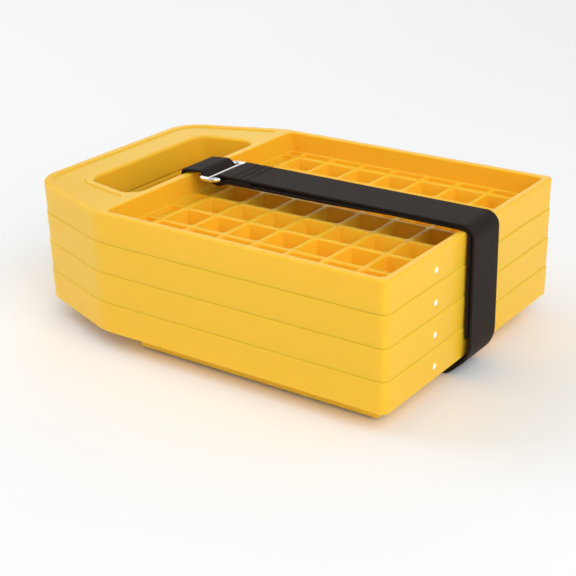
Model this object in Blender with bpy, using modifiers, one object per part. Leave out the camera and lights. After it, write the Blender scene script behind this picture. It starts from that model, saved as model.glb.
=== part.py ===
"""Leveling block set: four nested waffle pads bound by one webbing loop with a wire slide.

Units are metres and +Z is up. The origin is on the ground, under the middle of the bound stack.
+X runs from the carrying handles to the plain far ends, +Y is across the pads.
Lengths "from the far end" are measured along -X from the pads' far end faces.
"""

import math

import bmesh
import bpy
from mathutils import Matrix, Vector

MM = 0.001
GAP = 0.3 * MM                      # clearance between pieces that touch
OVERCUT = 1.0 * MM                  # how far a cutter reaches past the face it opens
ARC_STEPS = 5                       # straight pieces in one rounded corner

# The pad
PAD_COUNT = 4
PAD_LENGTH = 228.6 * MM             # 9 inches
PAD_WIDTH = 165.1 * MM              # 6.5 inches
PAD_HEIGHT = 25.4 * MM              # 1 inch, rim to foot
NEST_PITCH = 16.1 * MM              # height that each nested pad adds to the stack
DRAFT = 0.4 * MM                    # how far the outer wall leans in over its height
FAR_CORNER_RADIUS = 4.0 * MM
TAPER_START = 168.0 * MM            # from the far end, where the handle starts to narrow
TAPER_SLOPE = 0.36                  # width lost on each side per length of handle
TAPER_RADIUS = 30.0 * MM
END_CORNER_RADIUS = 20.0 * MM

# The tray and its lattice of square cells
WALL = 4.2 * MM                     # thickness of the rim
TRAY_LENGTH = 163.0 * MM            # from the far end to the divider's tray face
TRAY_DEPTH = 11.0 * MM              # rim to lattice
TRAY_CORNER_RADIUS = 3.0 * MM
LATTICE_CENTRE = 82.0 * MM          # from the far end
CELL_PITCH = 20.1 * MM
CELL_COUNT = 7                      # deep cells each way, between eight ribs
RIB = 2.4 * MM
MEMBRANE = 2.4 * MM                 # thickness of every floor
CELL_DEPTH = 9.0 * MM
LEDGE = 1.2 * MM                    # step left at the foot of the tray wall
FOOT_RIB = 3.6 * MM                 # ribs of the shallow grid on the underside
FOOT_DEPTH = 3.0 * MM
FOOT_CORNER_RADIUS = 2.0 * MM

# The handle
HOLE_FACE = 168.0 * MM              # from the far end to the hole's near wall
HOLE_END = 204.0 * MM               # from the far end to the grip
HOLE_HALF_NEAR = 53.5 * MM          # half width of the hole at the divider
HOLE_HALF_END = 46.0 * MM           # half width of the hole at the grip
HOLE_RADIUS = 8.0 * MM
SKIRT = 3.2 * MM                    # thickness of the handle's top and skirts

# The small round mark on each far end face
MARK_RADIUS = 1.6 * MM
MARK_DEPTH = 0.4 * MM
MARK_SIDE = 39.0 * MM               # off centre, towards -Y
MARK_BELOW_RIM = 9.5 * MM

# The webbing and the wire slide
WEB = 1.4 * MM                      # thickness of one layer
WEB_WIDTH = 25.4 * MM
WIRE_RADIUS = 1.1 * MM
BAR_RADIUS = 0.8 * MM
SLIDE_OUTER = 156.2 * MM            # from the far end to the slide's outer wire
SLIDE_BAR = 150.0 * MM              # from the far end to its middle bar
SLIDE_INNER = 143.8 * MM            # from the far end to the wire the webbing is sewn round
SLIDE_HALF_WIDTH = 15.2 * MM
SLIDE_CORNER_RADIUS = 3.0 * MM
SLIDE_RISE = 0.2 * MM               # the slide's wire plane above the top rim
SLACK = 0.1 * MM                    # extra clearance where the webbing passes a wire
WEB_BEND = 8.0 * MM                 # radius of an easy bend in the webbing
WEB_FOLD = 2.0 * MM                 # radius of a tight bend in the webbing
FAR_BEND_RISE = 10.5 * MM           # above the feet, where the webbing turns under the far ends
HOLE_BEND_RISE = 7.8 * MM           # above the feet, where it turns up into the hole
HOLE_JOIN_RISE = 24.7 * MM          # above the feet, where the base run ends, at the bottom pad's rim
HOLE_JOIN_GAP = 0.9 * MM            # up to the handle run, which starts over the bottom pad's rim
END_JOIN_RISE = 16.0 * MM           # above the feet, where it ends on the far end faces
UNDER_FAR = 8.5 * MM                # from the far end, where the webbing meets the underside
UNDER_NEAR = 155.5 * MM             # from the far end, where it leaves the underside
DIVIDER_JOIN = 160.6 * MM           # from the far end, just past the divider
SEWN_JOIN = 137.0 * MM              # from the far end, where the sewn end meets the top run
FLAP_BEND = 138.0 * MM              # from the far end, where the sewn flap straightens
FLAP_END = 124.0 * MM               # from the far end to the cut edge of the sewn flap
RIM_JOIN = 4.0 * MM                 # from the far end, where the top runs meet the far rim
TAIL_RISE = 20.0 * MM               # above the feet, where the webbing's free end stops

# Levels and stations that follow from these
LAYER = WEB + GAP
FIRST_LAYER = GAP + WEB / 2         # middle of a layer that lies on a pad
SECOND_LAYER = FIRST_LAYER + LAYER  # middle of a layer that lies on the first
FAR_X = (PAD_LENGTH - 2 * LAYER) / 2
HANDLE_X = FAR_X - PAD_LENGTH
FOOT_Z = LAYER                      # the stack stands on the webbing under it
RIM_Z = FOOT_Z + (PAD_COUNT - 1) * NEST_PITCH + PAD_HEIGHT
SKIRT_FOOT = PAD_HEIGHT - NEST_PITCH + GAP          # a pad's outer wall ends here
LATTICE_TOP = PAD_HEIGHT - TRAY_DEPTH
LATTICE_HALF = (CELL_COUNT * CELL_PITCH + RIB) / 2  # centre to the outer face of the last rib
SLIDE_Z = RIM_Z + SLIDE_RISE

YELLOW = (0.88, 0.50, 0.05, 1.0)
BLACK = (0.035, 0.033, 0.034, 1.0)
CHROME = (0.80, 0.80, 0.82, 1.0)


def far(distance):
    """Return the X that lies this distance from the pads' far end."""
    return FAR_X - distance


# Outlines

def rounded(corners, radii):
    """Round each corner of a polygon with its radius, as a list of points."""
    points = []
    for i, corner in enumerate(corners):
        here = Vector(corner)
        back = (Vector(corners[i - 1]) - here).normalized()
        ahead = (Vector(corners[(i + 1) % len(corners)]) - here).normalized()
        points += arc_points(here, back, ahead, radii[i])
    return points


def arc_points(corner, back, ahead, radius):
    """Return the points of the arc that rounds one corner."""
    half_angle = back.angle(ahead) / 2
    if radius <= 0 or math.pi / 2 - half_angle < 0.01:
        return [corner]
    reach = radius / math.tan(half_angle)
    centre = corner + (back + ahead).normalized() * (radius / math.sin(half_angle))
    start = (corner + back * reach - centre).normalized()
    end = (corner + ahead * reach - centre).normalized()
    return [centre + start.slerp(end, step / ARC_STEPS) * radius for step in range(ARC_STEPS + 1)]


def offset(corners, distance):
    """Move each side of a counter-clockwise polygon inwards by a distance."""
    moved = []
    for i, corner in enumerate(corners):
        here = Vector(corner)
        before = (here - Vector(corners[i - 1])).normalized()
        after = (Vector(corners[(i + 1) % len(corners)]) - here).normalized()
        normal_before = Vector((-before.y, before.x))
        normal_after = Vector((-after.y, after.x))
        bisector = normal_before + normal_after
        moved.append(here + bisector * (2 * distance / bisector.length_squared))
    return moved


def pad_corners():
    """Return the pad's plan outline before rounding, counter-clockwise."""
    half = PAD_WIDTH / 2
    end_half = half - (PAD_LENGTH - TAPER_START) * TAPER_SLOPE
    knee = far(TAPER_START)
    return [(FAR_X, -half), (FAR_X, half), (knee, half),
            (HANDLE_X, end_half), (HANDLE_X, -end_half), (knee, -half)]


def hole_corners():
    """Return the handle hole's outline before rounding, counter-clockwise."""
    face = far(HOLE_FACE)
    end = far(HOLE_END)
    return [(face, -HOLE_HALF_NEAR), (face, HOLE_HALF_NEAR),
            (end, HOLE_HALF_END), (end, -HOLE_HALF_END)]


def channel_corners():
    """Return the outline of the hollow under the handle, counter-clockwise."""
    inner = offset(pad_corners(), SKIRT)
    divider = far(TRAY_LENGTH) - SKIRT
    return [(divider, inner[5].y), (divider, inner[2].y), inner[3], inner[4]]


# Solids

def link(name, mesh, collection):
    """Make an object from a mesh in a collection."""
    thing = bpy.data.objects.new(name, mesh)
    collection.objects.link(thing)
    return thing


def finish_mesh(form, name):
    """Turn a bmesh into a mesh with its faces pointing out."""
    bmesh.ops.recalc_face_normals(form, faces=form.faces)
    mesh = bpy.data.meshes.new(name)
    form.to_mesh(mesh)
    form.free()
    return mesh


def prism(name, outline, bottom, top, collection, draft=0.0):
    """Extrude a plan outline from one height to another, drafted in at the bottom."""
    form = bmesh.new()
    ring = [form.verts.new((x, y, bottom)) for x, y in outline]
    base = form.faces.new(ring)
    raised = bmesh.ops.extrude_face_region(form, geom=[base], use_keep_orig=True)
    lifted = [item for item in raised["geom"] if isinstance(item, bmesh.types.BMVert)]
    bmesh.ops.translate(form, verts=lifted, vec=(0, 0, top - bottom))
    if draft:
        middle = Matrix.Translation((-(FAR_X + HANDLE_X) / 2, 0, 0))
        shrink = (1 - 2 * draft / PAD_LENGTH, 1 - 2 * draft / PAD_WIDTH, 1)
        bmesh.ops.scale(form, verts=ring, vec=shrink, space=middle)
    return link(name, finish_mesh(form, name), collection)


def rectangle(low_x, high_x, half_y):
    """Return a rectangle centred on Y = 0, counter-clockwise."""
    return [(low_x, -half_y), (high_x, -half_y), (high_x, half_y), (low_x, half_y)]


def boxes(name, extents, bottom, top, collection):
    """Make one object of separate boxes, each given by its plan extents."""
    form = bmesh.new()
    for low_x, high_x, low_y, high_y in extents:
        size = Matrix.Diagonal((high_x - low_x, high_y - low_y, top - bottom, 1))
        place = Matrix.Translation(((low_x + high_x) / 2, (low_y + high_y) / 2, (bottom + top) / 2))
        bmesh.ops.create_cube(form, size=1, matrix=place @ size)
    return link(name, finish_mesh(form, name), collection)


def cell_spans(centre, width):
    """Return the low and high edge of each lattice cell along one axis."""
    middle = (CELL_COUNT - 1) / 2
    places = [centre + (i - middle) * CELL_PITCH for i in range(CELL_COUNT)]
    return [(place - width / 2, place + width / 2) for place in places]


def grid(spans_x, spans_y):
    """Return the plan extents of every pair of spans."""
    return [span_x + span_y for span_x in spans_x for span_y in spans_y]


def border_extents():
    """Return the plan extents of the shallow cells between the last ribs and the tray walls."""
    cell = CELL_PITCH - RIB
    centre = far(LATTICE_CENTRE)
    spans_x = cell_spans(centre, cell)
    spans_y = cell_spans(0, cell)
    low_x = (far(TRAY_LENGTH) + LEDGE, centre - LATTICE_HALF)
    high_x = (centre + LATTICE_HALF, far(WALL) - LEDGE)
    high_y = (LATTICE_HALF, PAD_WIDTH / 2 - WALL - LEDGE)
    low_y = (-high_y[1], -high_y[0])
    ends = grid([low_x, high_x], [low_y] + spans_y + [high_y])
    return ends + grid(spans_x, [low_y, high_y])


def boolean(target, cutter, operation):
    """Add an exact Boolean and show its cutter as a wire guide."""
    step = target.modifiers.new(cutter.name, "BOOLEAN")
    step.object = cutter
    step.operation = operation
    step.solver = "EXACT"
    cutter.hide_render = True
    cutter.display_type = "WIRE"


def evaluated_mesh(source, name):
    """Return a copy of an object's mesh with its modifiers worked out."""
    bpy.context.view_layer.update()
    graph = bpy.context.evaluated_depsgraph_get()
    mesh = bpy.data.meshes.new_from_object(source.evaluated_get(graph))
    mesh.name = name
    return mesh


def pad_mesh(cutters):
    """Model one pad, its foot at Z = 0, and return its finished mesh."""
    centre = far(LATTICE_CENTRE)
    cell = CELL_PITCH - RIB
    foot_cell = CELL_PITCH - FOOT_RIB
    corners = pad_corners()
    radii = [FAR_CORNER_RADIUS] * 2 + [TAPER_RADIUS] + [END_CORNER_RADIUS] * 2 + [TAPER_RADIUS]
    shell = prism("pad_shell", rounded(corners, radii), SKIRT_FOOT, PAD_HEIGHT, cutters, DRAFT)

    foot = rectangle(centre - LATTICE_HALF, centre + LATTICE_HALF, LATTICE_HALF)
    foot = prism("foot_block", rounded(foot, [FOOT_CORNER_RADIUS] * 4),
                 0, SKIRT_FOOT + OVERCUT, cutters)
    tray = rectangle(far(TRAY_LENGTH), far(WALL), PAD_WIDTH / 2 - WALL)
    tray = prism("tray_cutter", rounded(tray, [TRAY_CORNER_RADIUS] * 4),
                 LATTICE_TOP, PAD_HEIGHT + OVERCUT, cutters)
    deep = boxes("cell_cutter", grid(cell_spans(centre, cell), cell_spans(0, cell)),
                 LATTICE_TOP - CELL_DEPTH, LATTICE_TOP + OVERCUT, cutters)
    shallow = boxes("border_cutter", border_extents(),
                    SKIRT_FOOT + MEMBRANE, LATTICE_TOP + OVERCUT, cutters)
    under = boxes("foot_cutter", grid(cell_spans(centre, foot_cell), cell_spans(0, foot_cell)),
                  -OVERCUT, FOOT_DEPTH, cutters)
    channel = prism("channel_cutter", rounded(channel_corners(), [1 * MM] * 2 + [17 * MM] * 2),
                    SKIRT_FOOT - OVERCUT, PAD_HEIGHT - SKIRT, cutters)
    hole_skirt = prism("hole_skirt", rounded(offset(hole_corners(), -SKIRT), [HOLE_RADIUS + SKIRT] * 4),
                       SKIRT_FOOT, PAD_HEIGHT - SKIRT / 2, cutters)
    hole = prism("hole_cutter", rounded(hole_corners(), [HOLE_RADIUS] * 4),
                 -OVERCUT, PAD_HEIGHT + OVERCUT, cutters)
    mark = mark_cutter(cutters)

    for cutter, operation in ((foot, "UNION"), (tray, "DIFFERENCE"), (deep, "DIFFERENCE"),
                              (shallow, "DIFFERENCE"), (under, "DIFFERENCE"),
                              (channel, "DIFFERENCE"), (hole_skirt, "UNION"),
                              (hole, "DIFFERENCE"), (mark, "DIFFERENCE")):
        boolean(shell, cutter, operation)
    mesh = evaluated_mesh(shell, "pad")
    bpy.data.objects.remove(shell)
    return mesh


def mark_cutter(cutters):
    """Make the cutter of the small round mark on the far end face."""
    form = bmesh.new()
    place = Vector((FAR_X, -MARK_SIDE, PAD_HEIGHT - MARK_BELOW_RIM))
    bmesh.ops.create_cone(form, cap_ends=True, segments=12, radius1=MARK_RADIUS,
                          radius2=MARK_RADIUS, depth=2 * (MARK_DEPTH + DRAFT),
                          matrix=Matrix.Translation(place) @ Matrix.Rotation(math.pi / 2, 4, "Y"))
    return link("mark_cutter", finish_mesh(form, "mark_cutter"), cutters)


# Webbing: each run is a path in the X-Z plane, drawn out across Y and given its thickness

def path(corners, radii):
    """Round the inner corners of an open path and return its points."""
    corners = [Vector(corner) for corner in corners]
    points = [corners[0]]
    for before, here, after, radius in zip(corners, corners[1:], corners[2:], radii):
        points += arc_points(here, (before - here).normalized(), (after - here).normalized(), radius)
    return points + [corners[-1]]


def webbing(name, points, parts, finish):
    """Draw a path out to the webbing's width and thicken it."""
    form = bmesh.new()
    verts = [form.verts.new((x, -WEB_WIDTH / 2, z)) for x, z in points]
    edges = [form.edges.new(pair) for pair in zip(verts, verts[1:])]
    drawn = bmesh.ops.extrude_edge_only(form, edges=edges)
    moved = [item for item in drawn["geom"] if isinstance(item, bmesh.types.BMVert)]
    bmesh.ops.translate(form, verts=moved, vec=(0, WEB_WIDTH, 0))
    mesh = bpy.data.meshes.new(name)
    form.to_mesh(mesh)
    form.free()
    mesh.materials.append(finish)
    run = link(name, mesh, parts)
    solid = run.modifiers.new("thickness", "SOLIDIFY")
    solid.thickness = WEB
    solid.offset = 0
    solid.use_even_offset = True
    return run


def add_webbing(parts, finish):
    """Make the runs of the webbing loop."""
    end_x = FAR_X + SECOND_LAYER            # outer layer on the far end faces
    hole_x = far(HOLE_FACE) - FIRST_LAYER   # layer on the divider, inside the hole
    top_z = RIM_Z + SECOND_LAYER            # outer layer on the top rim
    lower_z = RIM_Z + FIRST_LAYER           # inner layer on the top rim
    end_join_z = FOOT_Z + END_JOIN_RISE
    hole_join_z = FOOT_Z + HOLE_JOIN_RISE
    sewn_radius = WIRE_RADIUS + FIRST_LAYER
    tail_z = SLIDE_Z - sewn_radius - LAYER - SLACK

    runs = {
        "webbing_base_run": path(
            [(end_x, end_join_z), (end_x, FOOT_Z + FAR_BEND_RISE), (far(UNDER_FAR), WEB / 2),
             (far(UNDER_NEAR), WEB / 2), (hole_x, FOOT_Z + HOLE_BEND_RISE), (hole_x, hole_join_z)],
            [WEB_BEND, WEB_BEND, WEB_BEND, 2 * WEB_FOLD]),
        "webbing_handle_run": path(
            [(hole_x, hole_join_z + HOLE_JOIN_GAP), (hole_x, lower_z), (far(DIVIDER_JOIN), lower_z)],
            [FIRST_LAYER]),
        "webbing_slide_pass": path(
            [(far(DIVIDER_JOIN) + GAP, lower_z),
             (far(SLIDE_OUTER), SLIDE_Z + sewn_radius + 2 * SLACK),
             (far(SLIDE_BAR), SLIDE_Z - BAR_RADIUS - FIRST_LAYER - 4 * SLACK),
             (far(SLIDE_INNER), tail_z), (far(SEWN_JOIN), tail_z)],
            [WEB_FOLD, WEB_FOLD, WEB_FOLD]),
        "webbing_tail_run": path(
            [(far(SEWN_JOIN) + GAP, tail_z), (far(RIM_JOIN), lower_z)], []),
        "webbing_tail_end": path(
            [(far(RIM_JOIN) + GAP, lower_z), (FAR_X + FIRST_LAYER, lower_z),
             (FAR_X + FIRST_LAYER, FOOT_Z + TAIL_RISE)], [FIRST_LAYER]),
        "webbing_sewn_end": sewn_path(sewn_radius),
        "webbing_top_run": path(
            [(far(SEWN_JOIN) + GAP, SLIDE_Z + sewn_radius), (far(RIM_JOIN), top_z)], []),
        "webbing_end_run": path(
            [(far(RIM_JOIN) + GAP, top_z), (end_x, top_z), (end_x, end_join_z + GAP)],
            [SECOND_LAYER]),
    }
    for name, points in runs.items():
        webbing(name, points, parts, finish)


def sewn_path(radius):
    """Return the path of the webbing's sewn end: its flap, its turn round the wire, and back."""
    flap = path([(far(FLAP_END), RIM_Z + GAP + SLACK), (far(FLAP_BEND), RIM_Z - SLACK),
                 (far(SLIDE_INNER), SLIDE_Z - radius)], [2 * WEB_FOLD])
    middle = Vector((far(SLIDE_INNER), SLIDE_Z))
    steps = 2 * ARC_STEPS
    turn = [middle - Vector((math.sin(angle), math.cos(angle))) * radius
            for angle in [math.pi * step / steps for step in range(1, steps + 1)]]
    return flap + turn + [Vector((far(SEWN_JOIN), SLIDE_Z + radius))]


# The wire slide

def wire(name, points, radius, closed, parts, finish):
    """Make a wire along a list of points."""
    curve = bpy.data.curves.new(name, "CURVE")
    curve.dimensions = "3D"
    curve.bevel_depth = radius
    curve.bevel_resolution = 2
    curve.use_fill_caps = not closed
    spline = curve.splines.new("POLY")
    spline.points.add(len(points) - 1)
    for target, point in zip(spline.points, points):
        target.co = (*point, 1)
    spline.use_cyclic_u = closed
    curve.materials.append(finish)
    return link(name, curve, parts)


def add_slide(parts, finish):
    """Make the slide's wire ring and the bar welded across it."""
    ring = [(far(SLIDE_OUTER), -SLIDE_HALF_WIDTH), (far(SLIDE_INNER), -SLIDE_HALF_WIDTH),
            (far(SLIDE_INNER), SLIDE_HALF_WIDTH), (far(SLIDE_OUTER), SLIDE_HALF_WIDTH)]
    ring = [(x, y, SLIDE_Z) for x, y in rounded(ring, [SLIDE_CORNER_RADIUS] * 4)]
    wire("slide_ring", ring, WIRE_RADIUS, True, parts, finish)
    reach = SLIDE_HALF_WIDTH - WIRE_RADIUS - GAP
    bar = [(far(SLIDE_BAR), -reach, SLIDE_Z), (far(SLIDE_BAR), reach, SLIDE_Z)]
    wire("slide_bar", bar, BAR_RADIUS, False, parts, finish)


# Finishes and the scene

def material(name, color, roughness, metallic):
    """Make a plain Principled material."""
    made = bpy.data.materials.new(name)
    made.use_nodes = True
    shader = made.node_tree.nodes["Principled BSDF"]
    shader.inputs["Base Color"].default_value = color
    shader.inputs["Roughness"].default_value = roughness
    shader.inputs["Metallic"].default_value = metallic
    made.diffuse_color = color
    return made


def clear_scene():
    """Remove every object that the file opened with."""
    for thing in list(bpy.data.objects):
        bpy.data.objects.remove(thing)


def new_collection(name):
    """Make a collection in the scene."""
    made = bpy.data.collections.new(name)
    bpy.context.scene.collection.children.link(made)
    return made


def add_pads(parts, cutters, finish):
    """Stack the pads, the lowest first, each nested in the one below."""
    mesh = pad_mesh(cutters)
    mesh.materials.clear()
    mesh.materials.append(finish)
    for number in range(PAD_COUNT):
        pad = link(f"pad_{number + 1}", mesh, parts)
        pad.location.z = FOOT_Z + number * NEST_PITCH


def main():
    clear_scene()
    parts = new_collection("leveling_block_set")
    cutters = new_collection("cutters")
    add_pads(parts, cutters, material("yellow_plastic", YELLOW, 0.45, 0.0))
    add_webbing(parts, material("black_webbing", BLACK, 0.85, 0.0))
    add_slide(parts, material("chromed_wire", CHROME, 0.12, 1.0))


main()
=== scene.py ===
"""Looks of the leveling block set: four moulded pads, the webbing loop round them and its wire slide.

Metres, +Z up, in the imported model's frame. X runs from the carrying handles to the far ends.
"""

import math

import bmesh
import bpy
from mathutils import Matrix, Vector


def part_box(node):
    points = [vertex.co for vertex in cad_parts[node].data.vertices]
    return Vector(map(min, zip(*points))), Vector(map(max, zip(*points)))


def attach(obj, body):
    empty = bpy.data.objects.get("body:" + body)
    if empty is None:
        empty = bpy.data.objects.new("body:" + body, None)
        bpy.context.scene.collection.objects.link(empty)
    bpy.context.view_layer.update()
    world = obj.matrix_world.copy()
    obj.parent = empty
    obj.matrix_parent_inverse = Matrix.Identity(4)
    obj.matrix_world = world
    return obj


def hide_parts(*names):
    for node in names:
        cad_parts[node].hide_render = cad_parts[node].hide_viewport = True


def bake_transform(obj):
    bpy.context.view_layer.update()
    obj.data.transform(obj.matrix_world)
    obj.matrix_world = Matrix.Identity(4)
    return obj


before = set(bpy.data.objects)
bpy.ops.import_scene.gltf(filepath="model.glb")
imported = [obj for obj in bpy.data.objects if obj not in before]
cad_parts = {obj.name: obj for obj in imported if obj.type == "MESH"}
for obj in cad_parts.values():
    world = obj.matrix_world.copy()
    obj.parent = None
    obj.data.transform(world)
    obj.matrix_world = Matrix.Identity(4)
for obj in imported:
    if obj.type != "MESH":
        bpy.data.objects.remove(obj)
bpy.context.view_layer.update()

MM = 0.001
DEGREE = math.pi / 180

# The pads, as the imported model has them
PADS = ["pad_1", "pad_2", "pad_3", "pad_4"]
PAD_BODIES = ["base_pad", "second_pad", "third_pad", "top_pad"]
PAD_LOW, PAD_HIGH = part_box("pad_1")
FAR_X = PAD_HIGH.x
HANDLE_X = PAD_LOW.x
HALF_WIDTH = PAD_HIGH.y
PAD_LENGTH = FAR_X - HANDLE_X
FOOT_Z = PAD_LOW.z
PAD_HEIGHT = PAD_HIGH.z - PAD_LOW.z
NEST_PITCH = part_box("pad_2")[0].z - FOOT_Z
RIM_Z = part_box("pad_4")[1].z
GAP = 0.3 * MM

# Plan of the pad, lengths from the far end
FAR_CORNER_RADIUS = 4.0 * MM
TAPER_START = 168.0 * MM
TAPER_SLOPE = 0.36
TAPER_RADIUS = 30.0 * MM
END_CORNER_RADIUS = 20.0 * MM
DRAFT = 0.4 * MM
WALL = 4.2 * MM
TRAY_LENGTH = 163.0 * MM
TRAY_DEPTH = 11.0 * MM
TRAY_CORNER_RADIUS = 3.0 * MM
TRAY_DRAFT = 0.1 * MM
LATTICE_CENTRE = 82.0 * MM
CELL_PITCH = 20.1 * MM
CELL_COUNT = 7
RIB = 2.4 * MM
MEMBRANE = 2.4 * MM
CELL_DEPTH = 9.0 * MM
CELL_RADIUS = 1.4 * MM
BORDER_RADIUS = 1.0 * MM
LEDGE = 1.2 * MM
FOOT_RIB = 3.6 * MM
FOOT_DEPTH = 3.0 * MM
FOOT_CORNER_RADIUS = 2.0 * MM
FOOT_DRAFT = 0.2 * MM
HOLE_FACE = 168.0 * MM
HOLE_END = 204.0 * MM
HOLE_HALF_NEAR = 53.5 * MM
HOLE_HALF_END = 46.0 * MM
HOLE_RADIUS = 8.0 * MM
SKIRT = 3.2 * MM
SEAM = 0.08 * MM
SKIRT_FOOT = PAD_HEIGHT - NEST_PITCH + SEAM
LATTICE_TOP = PAD_HEIGHT - TRAY_DEPTH
LATTICE_HALF = (CELL_COUNT * CELL_PITCH + RIB) / 2

# The shallow U-shaped panel in the handle's top, and the channel under the handle
PANEL_MARGIN = 4.6 * MM
PANEL_DEPTH = 0.7 * MM
PANEL_START = 170.5 * MM
PANEL_CORNER_RADIUS = 2.5 * MM
CHANNEL_CORNER_RADIUS = 1.2 * MM

# Fillets at the top and at the foot of each upright wall
OUTER_FILLETS = [1.0 * MM, 0.15 * MM]
HOLE_FILLETS = [1.6 * MM, 0.8 * MM]
TRAY_FILLETS = [0.7 * MM, 0.5 * MM]
FOOT_FILLETS = [0.6 * MM, 0.6 * MM]

# Draft of each pocket's walls, then the fillets at its mouth and its floor
PANEL_EDGES = (0.1 * MM, 0.25 * MM, 0.25 * MM)
CELL_EDGES = (1.3 * MM, 1.1 * MM, 1.5 * MM)
BORDER_EDGES = (0.1 * MM, 0.3 * MM, 0.4 * MM)
FOOT_CELL_EDGES = (0.15 * MM, 0.4 * MM, 0.5 * MM)
CHANNEL_EDGES = (0.2 * MM, 0.4 * MM, 1.0 * MM)

# The small round gate mark on each far end face
MARK_RADIUS = 1.35 * MM
MARK_DEPTH = 0.25 * MM
MARK_CENTRE_DEPTH = 0.1 * MM
MARK_STEPS = 24
MARK_SIDE = 39.0 * MM
MARK_BELOW_RIM = 9.5 * MM

# The webbing and its slide
WEB = 1.4 * MM
WEB_HALF_WIDTH = 12.7 * MM
LAYER = WEB + GAP
FIRST_LAYER = GAP + WEB / 2
SECOND_LAYER = FIRST_LAYER + LAYER
WIRE_RADIUS = 1.1 * MM
BAR_RADIUS = 0.8 * MM
SLIDE_OUTER = 156.2 * MM
SLIDE_BAR = 150.0 * MM
SLIDE_INNER = 143.8 * MM
SLIDE_HALF_WIDTH = 15.2 * MM
SLIDE_CORNER_RADIUS = 5.0 * MM
RING_RADIUS = 1.15 * WIRE_RADIUS
SLIDE_Z = RIM_Z + 0.2 * MM
FOLD_RADIUS = WIRE_RADIUS + FIRST_LAYER
END_STANDOFF = 1.2 * MM
TAIL_STANDOFF = 0.5 * MM
RIBBON_STEP = 1.5 * MM

# The rows of stitches across the sewn end
STITCH_START = 136.0 * MM
STITCH_ROWS = 3
ROW_PITCH = 4.5 * MM
STITCHES_PER_ROW = 9
STITCH_PITCH = 2.6 * MM
THREAD_RADIUS = 0.28 * MM

ARC_STEPS = 5
CELL_STEPS = 3
EDGE_STEPS = 3
BEND_STEPS = 8
SHARP_ANGLE = 50 * DEGREE

# The camera's place, direction in radians and lens in millimetres
CAMERA_PLACE = (0.3798, -0.5237, 0.2943)
CAMERA_YAW = 2.19598614
CAMERA_PITCH = 0.404726
CAMERA_ROLL = -0.0239746
LENS = 82.96
SENSOR_WIDTH = 36


def far(distance):
    """Return the X that lies this distance from the pads' far end."""
    return FAR_X - distance


# Outlines and rounded profiles

def arc_points(corner, back, ahead, radius, steps):
    """Return the points of the arc that rounds one corner."""
    half_angle = back.angle(ahead) / 2
    if radius <= 0 or math.pi / 2 - half_angle < 0.01:
        return [corner]
    reach = radius / math.tan(half_angle)
    centre = corner + (back + ahead).normalized() * (radius / math.sin(half_angle))
    start = (corner + back * reach - centre).normalized()
    end = (corner + ahead * reach - centre).normalized()
    return [centre + start.slerp(end, step / steps) * radius for step in range(steps + 1)]


def path(corners, radii, steps=EDGE_STEPS):
    """Round the inner corners of an open path and return its points."""
    corners = [Vector(corner) for corner in corners]
    points = [corners[0]]
    for before, here, after, radius in zip(corners, corners[1:], corners[2:], radii):
        points += arc_points(here, (before - here).normalized(), (after - here).normalized(),
                             radius, steps)
    return points + [corners[-1]]


def offset(corners, distance):
    """Move each side of a counter-clockwise polygon inwards by a distance."""
    moved = []
    for i, corner in enumerate(corners):
        here = Vector(corner)
        before = (here - Vector(corners[i - 1])).normalized()
        after = (Vector(corners[(i + 1) % len(corners)]) - here).normalized()
        normal_before = Vector((-before.y, before.x))
        normal_after = Vector((-after.y, after.x))
        bisector = normal_before + normal_after
        moved.append(here + bisector * (2 * distance / bisector.length_squared))
    return moved


def outline_points(outline, inset):
    """Return a rounded outline moved inwards, with each corner's radius following."""
    corners, radii, steps = outline
    moved = offset(corners, inset)
    points = []
    for i, here in enumerate(moved):
        back = (moved[i - 1] - here).normalized()
        ahead = (moved[(i + 1) % len(moved)] - here).normalized()
        outward = back.cross(ahead) < 0
        radius = max(radii[i] + (-inset if outward else inset), 0.03 * MM)
        points += arc_points(here, back, ahead, radius, steps)
    return points


def rectangle(low_x, high_x, low_y, high_y, radius, steps):
    """Return the outline of a rounded rectangle, counter-clockwise."""
    corners = [(low_x, low_y), (high_x, low_y), (high_x, high_y), (low_x, high_y)]
    return corners, [radius] * 4, steps


def pad_outline():
    """Return the pad's plan outline, which starts at the two far corners."""
    end_half = HALF_WIDTH - (PAD_LENGTH - TAPER_START) * TAPER_SLOPE
    knee = far(TAPER_START)
    corners = [(FAR_X, -HALF_WIDTH), (FAR_X, HALF_WIDTH), (knee, HALF_WIDTH),
               (HANDLE_X, end_half), (HANDLE_X, -end_half), (knee, -HALF_WIDTH)]
    radii = [FAR_CORNER_RADIUS] * 2 + [TAPER_RADIUS] + [END_CORNER_RADIUS] * 2 + [TAPER_RADIUS]
    return corners, radii, 2 * ARC_STEPS


def hole_outline():
    """Return the outline of the handle's hole."""
    face = far(HOLE_FACE)
    end = far(HOLE_END)
    corners = [(face, -HOLE_HALF_NEAR), (face, HOLE_HALF_NEAR),
               (end, HOLE_HALF_END), (end, -HOLE_HALF_END)]
    return corners, [HOLE_RADIUS] * 4, 2 * ARC_STEPS


def side_at(inner, x):
    """Return the Y where the hole's sloping +Y side, already moved, reaches this X."""
    near, end = inner[1], inner[2]
    return near.y + (end.y - near.y) * (x - near.x) / (end.x - near.x)


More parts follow.
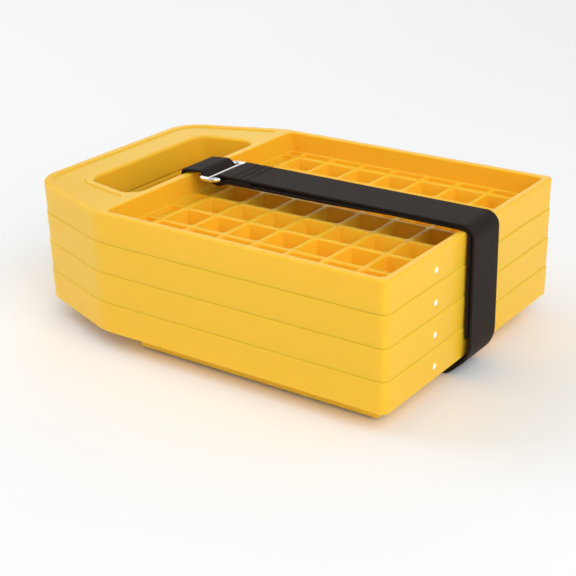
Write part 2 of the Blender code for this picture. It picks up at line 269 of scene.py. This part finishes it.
def u_outline(start_x, outer_margin, hole_margin, corner_radius):
    """Return the outline of a U that lies on the handle, round its hole."""
    outer = offset(pad_outline()[0], outer_margin)
    inner = offset(hole_outline()[0], -hole_margin)
    knee, end = outer[2], outer[3]
    slope = (end.y - knee.y) / (end.x - knee.x)
    outer_y = knee.y + slope * (start_x - knee.x)
    inner_y = side_at(inner, start_x)
    corners = [(start_x, outer_y), outer[3], outer[4], (start_x, -outer_y),
               (start_x, -inner_y), inner[3], inner[2], (start_x, inner_y)]
    end_radius = END_CORNER_RADIUS - outer_margin
    hole_radius = HOLE_RADIUS + hole_margin
    radii = [corner_radius, end_radius, end_radius, corner_radius,
             corner_radius, hole_radius, hole_radius, corner_radius]
    return corners, radii, 2 * ARC_STEPS


def cell_spans(centre, width):
    """Return the low and high edge of each lattice cell along one axis."""
    middle = (CELL_COUNT - 1) / 2
    places = [centre + (i - middle) * CELL_PITCH for i in range(CELL_COUNT)]
    return [(place - width / 2, place + width / 2) for place in places]


def grid(spans_x, spans_y):
    """Return the plan extents of every pair of spans."""
    return [span_x + span_y for span_x in spans_x for span_y in spans_y]


def border_extents():
    """Return the plan extents of the shallow cells between the last ribs and the tray walls."""
    cell = CELL_PITCH - RIB
    centre = far(LATTICE_CENTRE)
    spans_x = cell_spans(centre, cell)
    spans_y = cell_spans(0, cell)
    low_x = (far(TRAY_LENGTH) + LEDGE, centre - LATTICE_HALF)
    high_x = (centre + LATTICE_HALF, far(WALL) - LEDGE)
    high_y = (LATTICE_HALF, HALF_WIDTH - WALL - LEDGE)
    low_y = (-high_y[1], -high_y[0])
    ends = grid([low_x, high_x], [low_y] + spans_y + [high_y])
    return ends + grid(spans_x, [low_y, high_y])


# Surfaces

def bridge(form, low, high, skip=None):
    """Join two rings of the same length with a band of faces."""
    for i in range(len(low)):
        if i != skip:
            form.faces.new((low[i - 1], low[i], high[i], high[i - 1]))


def sweep(form, outline, profile, open_side=None):
    """Draw an outline along a profile of (inset, height) points.

    Returns its rings. The longest band leaves out the face that ends at point open_side.
    """
    rings = [[form.verts.new((x, y, height)) for x, y in outline_points(outline, inset)]
             for inset, height in profile]
    drops = [abs(after[1] - before[1]) for before, after in zip(profile, profile[1:])]
    for i, drop in enumerate(drops):
        bridge(form, rings[i], rings[i + 1], open_side if drop == max(drops) else None)
    return rings


def fill(form, *rings):
    """Close the flat area that rings enclose."""
    edges = [form.edges.get((ring[i - 1], ring[i])) for ring in rings for i in range(len(ring))]
    return bmesh.ops.triangle_fill(form, use_beauty=True, edges=edges)["geom"]


def pocket(form, outline, mouth, floor, edges):
    """Sink a pocket into a flat face and return the ring at its mouth."""
    draft, edge, foot = edges
    profile = path([(-2 * edge, mouth), (0, mouth), (draft, floor), (draft + 2 * foot, floor)],
                   [edge, foot])[1:-1]
    rings = sweep(form, outline, profile)
    fill(form, rings[-1])
    return rings[0]


def pad_mesh():
    """Build one pad with its foot at Z = 0."""
    form = bmesh.new()
    outer = pad_outline()
    side = outer[2] + 1
    walls = sweep(form, outer, path([(2 * MM, PAD_HEIGHT), (0, PAD_HEIGHT), (DRAFT, SKIRT_FOOT),
                                     (2 * MM, SKIRT_FOOT)], OUTER_FILLETS)[1:-1], side)
    hole = sweep(form, hole_outline(), path([(-4 * MM, PAD_HEIGHT), (0, PAD_HEIGHT), (0, SKIRT_FOOT),
                                             (-2 * MM, SKIRT_FOOT)], HOLE_FILLETS)[1:-1])
    tray = rectangle(far(TRAY_LENGTH), far(WALL), WALL - HALF_WIDTH, HALF_WIDTH - WALL,
                     TRAY_CORNER_RADIUS, ARC_STEPS)
    tray = sweep(form, tray, path([(-2 * MM, PAD_HEIGHT), (0, PAD_HEIGHT), (TRAY_DRAFT, LATTICE_TOP),
                                   (1 * MM, LATTICE_TOP)], TRAY_FILLETS)[1:-1])
    panel = u_outline(far(PANEL_START), PANEL_MARGIN, PANEL_MARGIN, PANEL_CORNER_RADIUS)
    panel = pocket(form, panel, PAD_HEIGHT, PAD_HEIGHT - PANEL_DEPTH, PANEL_EDGES)
    fill(form, walls[0], hole[0], tray[0], panel)

    centre = far(LATTICE_CENTRE)
    cell = CELL_PITCH - RIB
    mouths = [pocket(form, rectangle(*extent, CELL_RADIUS, CELL_STEPS), LATTICE_TOP,
                     LATTICE_TOP - CELL_DEPTH, CELL_EDGES)
              for extent in grid(cell_spans(centre, cell), cell_spans(0, cell))]
    mouths += [pocket(form, rectangle(*extent, BORDER_RADIUS, CELL_STEPS), LATTICE_TOP,
                      SKIRT_FOOT + MEMBRANE, BORDER_EDGES)
               for extent in border_extents()]
    fill(form, tray[-1], *mouths)

    foot = rectangle(centre - LATTICE_HALF, centre + LATTICE_HALF, -LATTICE_HALF, LATTICE_HALF,
                     FOOT_CORNER_RADIUS, ARC_STEPS)
    foot = sweep(form, foot, path([(-2 * MM, SKIRT_FOOT), (0, SKIRT_FOOT), (FOOT_DRAFT, 0),
                                   (2 * MM, 0)], FOOT_FILLETS)[1:-1])
    under = CELL_PITCH - FOOT_RIB
    cells = [pocket(form, rectangle(*extent, CELL_RADIUS, CELL_STEPS), 0, FOOT_DEPTH,
                    FOOT_CELL_EDGES)
             for extent in grid(cell_spans(centre, under), cell_spans(0, under))]
    fill(form, foot[-1], *cells)
    channel = u_outline(far(TRAY_LENGTH) - SKIRT, SKIRT, SKIRT, CHANNEL_CORNER_RADIUS)
    channel = pocket(form, channel, SKIRT_FOOT, PAD_HEIGHT - SKIRT, CHANNEL_EDGES)
    fill(form, walls[-1], hole[-1], foot[0], channel)

    add_mark(form, walls, side)
    return smooth_mesh(form, "pad_moulding")


def add_mark(form, walls, side):
    """Close the far end face round its small gate mark."""
    upper, lower = max(zip(walls, walls[1:]), key=lambda pair: pair[0][0].co.z - pair[1][0].co.z)
    corners = [upper[side - 1], upper[side], lower[side], lower[side - 1]]
    up = (corners[0].co - corners[3].co).normalized()
    out = Vector((0, 1, 0)).cross(up).normalized()
    drop = (PAD_HEIGHT - MARK_BELOW_RIM - corners[0].co.z) / up.z
    middle = Vector((0, -MARK_SIDE, 0)) + Vector((1, 0, 1)) * corners[0].co + up * drop
    profile = path([(1.5 * MARK_RADIUS, 0), (MARK_RADIUS, 0), (MARK_RADIUS, -MARK_DEPTH),
                    (0.45 * MARK_RADIUS, -MARK_DEPTH), (0.35 * MARK_RADIUS, -MARK_CENTRE_DEPTH),
                    (0, -MARK_CENTRE_DEPTH)], [0.15 * MM, 0.1 * MM, 0.1 * MM, 0.1 * MM])[1:-1]
    rings = []
    for radius, depth in profile:
        turns = [2 * math.pi * i / MARK_STEPS for i in range(MARK_STEPS)]
        rings.append([form.verts.new(middle + out * depth + Vector((0, math.cos(a), 0)) * radius
                                     + up * math.sin(a) * radius) for a in turns])
    first = len(form.faces)
    for low, high in zip(rings, rings[1:]):
        bridge(form, low, high)
    fill(form, rings[-1])
    form.faces.ensure_lookup_table()
    for face in form.faces[first:]:
        face.material_index = 1
    fill(form, corners, rings[0])


def smooth_mesh(form, name):
    """Turn a closed bmesh into a mesh whose flats stay flat and whose rounded edges are smooth."""
    bmesh.ops.recalc_face_normals(form, faces=form.faces)
    mesh = bpy.data.meshes.new(name)
    form.to_mesh(mesh)
    form.free()
    mesh.shade_smooth()
    normals = [Vector() for _ in mesh.vertices]
    for face in mesh.polygons:
        for i in face.vertices:
            normals[i] += face.normal * face.area
    mesh.normals_split_custom_set_from_vertices([normal.normalized() for normal in normals])
    return mesh


# Materials

class Nodes:
    """A material's node tree, with short calls to add and join nodes."""

    def __init__(self, name):
        self.material = bpy.data.materials.new(name)
        self.material.use_nodes = True
        self.tree = self.material.node_tree
        self.shader = self.tree.nodes["Principled BSDF"]

    def add(self, kind, **values):
        node = self.tree.nodes.new(kind)
        for name, value in values.items():
            setattr(node, name, value)
        return node

    def join(self, source, target):
        self.tree.links.new(source, target)

    def math(self, operation, first, second=None):
        node = self.add("ShaderNodeMath", operation=operation)
        for socket, value in zip(node.inputs, (first, second)):
            if value is None:
                continue
            if isinstance(value, (int, float)):
                socket.default_value = value
            else:
                self.join(value, socket)
        return node.outputs[0]

    def noise(self, scale, detail=2.0, stretch=(1, 1, 1)):
        """Noise over the object's own coordinates, scale in lumps per metre."""
        place = self.add("ShaderNodeTexCoord").outputs["Object"]
        if stretch != (1, 1, 1):
            mapping = self.add("ShaderNodeMapping")
            mapping.inputs["Scale"].default_value = stretch
            self.join(place, mapping.inputs["Vector"])
            place = mapping.outputs[0]
        node = self.add("ShaderNodeTexNoise")
        node.inputs["Scale"].default_value = scale
        node.inputs["Detail"].default_value = detail
        self.join(place, node.inputs["Vector"])
        return node.outputs["Fac"]

    def mix(self, factor, first, second):
        """Mix two colours, each a value or another node's output."""
        node = self.add("ShaderNodeMix", data_type="RGBA")
        self.join(factor, node.inputs["Factor"])
        for socket, value in ((node.inputs[6], first), (node.inputs[7], second)):
            if isinstance(value, tuple):
                socket.default_value = (*value, 1)
            else:
                self.join(value, socket)
        return node.outputs[2]

    def span(self, value, low, high):
        """Map a 0 to 1 value to a range."""
        node = self.add("ShaderNodeMapRange")
        self.join(value, node.inputs["Value"])
        node.inputs["To Min"].default_value = low
        node.inputs["To Max"].default_value = high
        return node.outputs[0]

    def bump(self, height, distance):
        node = self.add("ShaderNodeBump")
        node.inputs["Distance"].default_value = distance
        node.inputs["Strength"].default_value = 1.0
        self.join(height, node.inputs["Height"])
        self.join(node.outputs[0], self.shader.inputs["Normal"])

    def set(self, **values):
        for name, value in values.items():
            self.shader.inputs[name.replace("_", " ")].default_value = value


def plastic_material(name, light, dark, roughness, glow):
    """Moulded plastic with a fine mould grain and slight clouding; glow lets light into it."""
    nodes = Nodes(name)
    cloud = nodes.noise(22, 3.0)
    nodes.join(nodes.mix(cloud, dark, light), nodes.shader.inputs["Base Color"])
    nodes.join(nodes.span(nodes.noise(90, 2.0), roughness - 0.05, roughness + 0.05),
               nodes.shader.inputs["Roughness"])
    grain = nodes.noise(2600, 2.0)
    nodes.bump(grain, 0.03 * MM)
    nodes.set(IOR=1.42, Specular_IOR_Level=0.4, Subsurface_Weight=glow, Subsurface_Scale=4 * MM)
    nodes.shader.inputs["Subsurface Radius"].default_value = (1.0, 0.45, 0.08)
    return nodes.material


def webbing_material():
    """Black woven webbing: ribs along its length, crossed by short picks, with painted shade darkening
    the weave's hollows and lightening its raised yarn.
    """
    nodes = Nodes("black_webbing")
    uv = nodes.add("ShaderNodeUVMap", uv_map="weave")
    split = nodes.add("ShaderNodeSeparateXYZ")
    nodes.join(uv.outputs[0], split.inputs[0])
    across, along = split.outputs[0], split.outputs[1]
    rib = nodes.math("MULTIPLY", across, 1 / 1.15)
    rib_wave = nodes.math("SINE", nodes.math("MULTIPLY", nodes.math("FRACT", rib), math.pi))
    shift = nodes.math("MULTIPLY", nodes.math("MODULO", nodes.math("FLOOR", rib), 2.0), 0.5)
    pick = nodes.math("ADD", nodes.math("MULTIPLY", along, 1 / 1.9), shift)
    pick_wave = nodes.math("SINE", nodes.math("MULTIPLY", nodes.math("FRACT", pick), math.pi))
    height = nodes.math("MULTIPLY", rib_wave, nodes.math("POWER", pick_wave, 0.6))
    fuzz = nodes.noise(1800, 3.0)
    # painted shade and light: the weave's low parts are coloured darker and its raised yarn lighter, as
    # light would fall on them
    weave_painted_shade = nodes.mix(height, (0.006, 0.004, 0.003), (0.026, 0.018, 0.014))
    nodes.join(nodes.mix(nodes.noise(160, 3.0), weave_painted_shade, (0.020, 0.014, 0.011)),
               nodes.shader.inputs["Base Color"])
    nodes.join(nodes.span(fuzz, 0.62, 0.82), nodes.shader.inputs["Roughness"])
    nodes.bump(nodes.math("ADD", height, nodes.math("MULTIPLY", fuzz, 0.35)), 0.16 * MM)
    nodes.set(Sheen_Weight=0.05, Sheen_Roughness=0.4, Specular_IOR_Level=0.12)
    nodes.shader.inputs["Sheen Tint"].default_value = (1.0, 0.82, 0.72, 1)
    return nodes.material


def thread_material():
    """Twisted black sewing thread."""
    nodes = Nodes("black_thread")
    strands = nodes.noise(3000, 2.0, (1, 0.25, 1))
    nodes.join(nodes.mix(strands, (0.008, 0.006, 0.005), (0.020, 0.016, 0.014)),
               nodes.shader.inputs["Base Color"])
    nodes.bump(strands, 0.05 * MM)
    nodes.set(Roughness=0.6, Specular_IOR_Level=0.25, Sheen_Weight=0.05)
    return nodes.material


def chrome_material():
    """Bright plated wire with faint draw marks."""
    nodes = Nodes("bright_wire")
    haze = nodes.noise(240, 3.0)
    nodes.join(nodes.mix(haze, (0.80, 0.79, 0.77), (0.90, 0.90, 0.90)),
               nodes.shader.inputs["Base Color"])
    nodes.join(nodes.span(haze, 0.08, 0.20), nodes.shader.inputs["Roughness"])
    nodes.bump(nodes.noise(3000, 2.0), 0.01 * MM)
    nodes.set(Metallic=1.0)
    return nodes.material


# Pieces

def show(name, mesh, materials):
    """Add an object made of a mesh."""
    if not mesh.materials:
        for made in materials:
            mesh.materials.append(made)
    thing = bpy.data.objects.new(name, mesh)
    bpy.context.scene.collection.objects.link(thing)
    return thing


def add_pads(plastic, mark):
    """Stack the four pads, each riding on its own body."""
    mesh = pad_mesh()
    for number, (node, body) in enumerate(zip(PADS, PAD_BODIES)):
        pad = show(f"moulded_{node}", mesh, [plastic, mark])
        pad.location.z = FOOT_Z + number * NEST_PITCH
        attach(pad, body)
        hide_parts(node)


def webbing_path():
    """Return the webbing's whole run in the X-Z plane, from its sewn end to its free end."""
    end_x = FAR_X + SECOND_LAYER + END_STANDOFF
    tail_x = FAR_X + FIRST_LAYER + TAIL_STANDOFF
    hole_x = far(HOLE_FACE) - FIRST_LAYER
    top_z = RIM_Z + SECOND_LAYER
    lower_z = RIM_Z + FIRST_LAYER
    flap = path([(far(124 * MM), RIM_Z + 0.6 * MM), (far(139 * MM), RIM_Z + 0.4 * MM),
                 (far(SLIDE_INNER), SLIDE_Z - FOLD_RADIUS)], [4 * MM], BEND_STEPS)
    middle = Vector((far(SLIDE_INNER), SLIDE_Z))
    turn = [middle - Vector((math.sin(a), math.cos(a))) * FOLD_RADIUS
            for a in [math.pi * step / 12 for step in range(1, 13)]]
    outer = path([turn[-1], (far(137 * MM), SLIDE_Z + FOLD_RADIUS), (far(8 * MM), top_z),
                  (end_x, top_z), (end_x, FOOT_Z + 10.5 * MM), (far(8.5 * MM), WEB / 2),
                  (far(155.5 * MM), WEB / 2), (hole_x, FOOT_Z + 7.8 * MM), (hole_x, lower_z + 0.5 * MM),
                  (far(SLIDE_OUTER + 0.4 * MM), SLIDE_Z + FOLD_RADIUS + 0.4 * MM),
                  (far(SLIDE_BAR), SLIDE_Z - BAR_RADIUS - FIRST_LAYER - 0.4 * MM),
                  (far(SLIDE_INNER + 0.9 * MM), SLIDE_Z - FOLD_RADIUS - WEB + 0.3 * MM),
                  (far(139.5 * MM), RIM_Z - 0.9 * MM), (far(80 * MM), RIM_Z - 0.3 * MM),
                  (far(40 * MM), lower_z), (tail_x, lower_z), (tail_x, FOOT_Z + 20 * MM)],
                 [2 * MM, 2 * MM, 6 * MM, 16 * MM, 8 * MM, 8 * MM, 4 * MM, 2 * MM, 4 * MM,
                  2 * MM, 2 * MM, 5 * MM, 60 * MM, 40 * MM, 3 * MM], BEND_STEPS)
    return flap + turn + outer[1:]


def spaced(points, step):
    """Return points along a path no further apart than a step."""
    kept = [points[0]]
    for before, after in zip(points, points[1:]):
        length = (after - before).length
        pieces = max(1, math.ceil(length / step))
        kept += [before.lerp(after, i / pieces) for i in range(1, pieces + 1)]
    return [p for i, p in enumerate(kept) if i == 0 or (p - kept[i - 1]).length > 1e-6]


def web_section():
    """Return the webbing's cross-section as (across, thickness) points round its edge."""
    half = WEB / 2
    round_edge = [(WEB_HALF_WIDTH - half + half * math.sin(a), half * math.cos(a))
                  for a in [math.pi * i / 6 for i in range(7)]]
    flats = [-WEB_HALF_WIDTH + 1.3 * MM + i * (2 * WEB_HALF_WIDTH - 2.6 * MM) / 14 for i in range(15)]
    top = [(y, half) for y in flats]
    bottom = [(-y, -half) for y in flats]
    return top + round_edge + bottom + [(-y, -z) for y, z in round_edge]


def ribbon_mesh(name, points, section):
    """Draw a cross-section along a path in the X-Z plane, with a weave map in millimetres."""
    form = bmesh.new()
    weave = form.loops.layers.uv.new("weave")
    rings = []
    lengths = [0.0]
    for before, after in zip(points, points[1:]):
        lengths.append(lengths[-1] + (after - before).length)
    for i, point in enumerate(points):
        ahead = (points[min(i + 1, len(points) - 1)] - points[max(i - 1, 0)]).normalized()
        normal = Vector((-ahead.y, ahead.x))
        rings.append([form.verts.new((point.x + normal.x * z, y, point.y + normal.y * z))
                      for y, z in section])
    for low, high, start, end in zip(rings, rings[1:], lengths, lengths[1:]):
        for i in range(len(low)):
            face = form.faces.new((low[i - 1], low[i], high[i], high[i - 1]))
            ys = [section[i - 1][0], section[i][0], section[i][0], section[i - 1][0]]
            for loop, y, along in zip(face.loops, ys, (start, start, end, end)):
                loop[weave].uv = ((y + WEB_HALF_WIDTH) / MM, along / MM)
    for ring in (rings[0], rings[-1]):
        form.faces.new(ring)
    bmesh.ops.recalc_face_normals(form, faces=form.faces)
    mesh = bpy.data.meshes.new(name)
    form.to_mesh(mesh)
    form.free()
    mesh.shade_smooth()
    mesh.set_sharp_from_angle(angle=SHARP_ANGLE)
    return mesh


def add_webbing(finish):
    """Run the webbing round the stack as one fixed strip."""
    mesh = ribbon_mesh("webbing_strip", spaced(webbing_path(), RIBBON_STEP), web_section())
    strip = show("webbing_strip", mesh, [finish])
    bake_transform(strip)
    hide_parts("webbing_base_run", "webbing_handle_run", "webbing_slide_pass",
                "webbing_tail_run", "webbing_tail_end", "webbing_sewn_end", "webbing_top_run",
                "webbing_end_run")


def add_stitches(finish):
    """Sew the doubled end of the webbing with rows of stitches across it."""
    form = bmesh.new()
    level = RIM_Z + SECOND_LAYER - 0.3 * MM + WEB / 2
    profile = [(-1.05 * MM, -0.2 * MM), (-0.7 * MM, 0.06 * MM),
               (0.7 * MM, 0.06 * MM), (1.05 * MM, -0.2 * MM)]
    sides = [2 * math.pi * k / 8 for k in range(8)]
    for row in range(STITCH_ROWS):
        x = far(STITCH_START) + row * ROW_PITCH
        for number in range(STITCHES_PER_ROW):
            y = (number - (STITCHES_PER_ROW - 1) / 2) * STITCH_PITCH
            rings = [[form.verts.new((x + THREAD_RADIUS * math.cos(a), y + along,
                                      level + up + THREAD_RADIUS * math.sin(a))) for a in sides]
                     for along, up in profile]
            for low, high in zip(rings, rings[1:]):
                bridge(form, low, high)
            for ring in (rings[0], rings[-1]):
                form.faces.new(ring)
    bmesh.ops.recalc_face_normals(form, faces=form.faces)
    mesh = bpy.data.meshes.new("sewing_thread")
    form.to_mesh(mesh)
    form.free()
    mesh.shade_smooth()
    thread = show("sewing_thread", mesh, [finish])
    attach(thread, "strap_top")


def tube_mesh(name, points, radius, closed, sides=20):
    """Draw a round wire along points, with domed ends where it is open."""
    form = bmesh.new()
    rings = []
    count = len(points)
    for i, point in enumerate(points):
        before = points[i - 1] if closed or i > 0 else point
        after = points[(i + 1) % count] if closed or i < count - 1 else point
        ahead = (after - before).normalized()
        side = ahead.cross(Vector((0, 0, 1))).normalized()
        up = side.cross(ahead)
        rings.append([form.verts.new(point + (side * math.cos(a) + up * math.sin(a)) * radius)
                      for a in [2 * math.pi * k / sides for k in range(sides)]])
    pairs = list(zip(rings, rings[1:] + rings[:1])) if closed else list(zip(rings, rings[1:]))
    for low, high in pairs:
        bridge(form, low, high)
    if not closed:
        for ring in (rings[0], rings[-1]):
            form.faces.new(ring)
    bmesh.ops.recalc_face_normals(form, faces=form.faces)
    mesh = bpy.data.meshes.new(name)
    form.to_mesh(mesh)
    form.free()
    mesh.shade_smooth()
    mesh.set_sharp_from_angle(angle=SHARP_ANGLE)
    return mesh


def add_slide(finish):
    """Make the wire slide: a ring with a bar welded across it."""
    corners = [(far(SLIDE_OUTER), -SLIDE_HALF_WIDTH), (far(SLIDE_INNER), -SLIDE_HALF_WIDTH),
               (far(SLIDE_INNER), SLIDE_HALF_WIDTH), (far(SLIDE_OUTER), SLIDE_HALF_WIDTH)]
    points = outline_points((corners, [SLIDE_CORNER_RADIUS] * 4, 10), 0)
    points = [Vector((x, y, SLIDE_Z)) for x, y in points]
    ring = show("wire_slide_ring", tube_mesh("wire_slide_ring", points, RING_RADIUS, True), [finish])
    reach = SLIDE_HALF_WIDTH - WIRE_RADIUS - GAP
    points = [Vector((far(SLIDE_BAR), reach * i / 6, SLIDE_Z)) for i in range(-6, 7)]
    bar = show("wire_slide_bar", tube_mesh("wire_slide_bar", points, BAR_RADIUS, False), [finish])
    for piece, node in ((ring, "slide_ring"), (bar, "slide_bar")):
        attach(piece, "strap_top")
        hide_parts(node)


# Studio

def add_area(name, place, target, size, power):
    """Add a soft square light aimed at a point."""
    light = bpy.data.lights.new(name, "AREA")
    light.size = size
    light.energy = power
    lamp = bpy.data.objects.new(name, light)
    bpy.context.scene.collection.objects.link(lamp)
    lamp.location = place
    lamp.rotation_euler = (Vector(target) - Vector(place)).to_track_quat("-Z", "Y").to_euler()


def add_studio():
    """Add the floor, the lights and the surrounding white."""
    form = bmesh.new()
    bmesh.ops.create_grid(form, x_segments=1, y_segments=1, size=6)
    mesh = bpy.data.meshes.new("floor")
    form.to_mesh(mesh)
    form.free()
    nodes = Nodes("white_floor")
    nodes.set(Base_Color=(0.97, 0.985, 1, 1), Roughness=0.9, Specular_IOR_Level=0.1)
    show("floor", mesh, [nodes.material])
    middle = (0, 0, 0.04)
    add_area("back", (-0.8, 1.35, 0.75), middle, 1.0, 2.6)
    add_area("front", (1.3, -0.70, 1.10), middle, 1.5, 17)
    add_area("left", (-1.3, -0.35, 1.0), middle, 1.2, 7.5)
    world = bpy.data.worlds.new("studio")
    bpy.context.scene.world = world
    world.use_nodes = True
    world.node_tree.nodes["Background"].inputs["Color"].default_value = (1, 1, 1, 1)
    world.node_tree.nodes["Background"].inputs["Strength"].default_value = 0.565
    bpy.context.scene.view_settings.view_transform = "Standard"


def add_camera():
    """Look at the set from over its near far corner."""
    yaw, pitch, roll = CAMERA_YAW, CAMERA_PITCH, CAMERA_ROLL
    ahead = Vector((math.cos(yaw) * math.cos(pitch), math.sin(yaw) * math.cos(pitch), -math.sin(pitch)))
    right = Vector((math.sin(yaw), -math.cos(yaw), 0))
    up = right.cross(ahead)
    turned_right = right * math.cos(roll) + up * math.sin(roll)
    turned_up = up * math.cos(roll) - right * math.sin(roll)
    data = bpy.data.cameras.new("camera")
    data.sensor_width = SENSOR_WIDTH
    data.lens = LENS
    camera = bpy.data.objects.new("camera", data)
    bpy.context.scene.collection.objects.link(camera)
    axes = Matrix((turned_right, turned_up, -ahead)).transposed().to_4x4()
    camera.matrix_world = Matrix.Translation(CAMERA_PLACE) @ axes
    bpy.context.scene.camera = camera


add_pads(plastic_material("yellow_plastic", (0.97, 0.565, 0.032), (0.955, 0.540, 0.027), 0.38, 0.6),
         plastic_material("pale_gate_mark", (1.0, 0.96, 0.86), (1.0, 0.93, 0.78), 0.6, 0.0))
add_webbing(webbing_material())
add_stitches(thread_material())
add_slide(chrome_material())
add_studio()
add_camera()
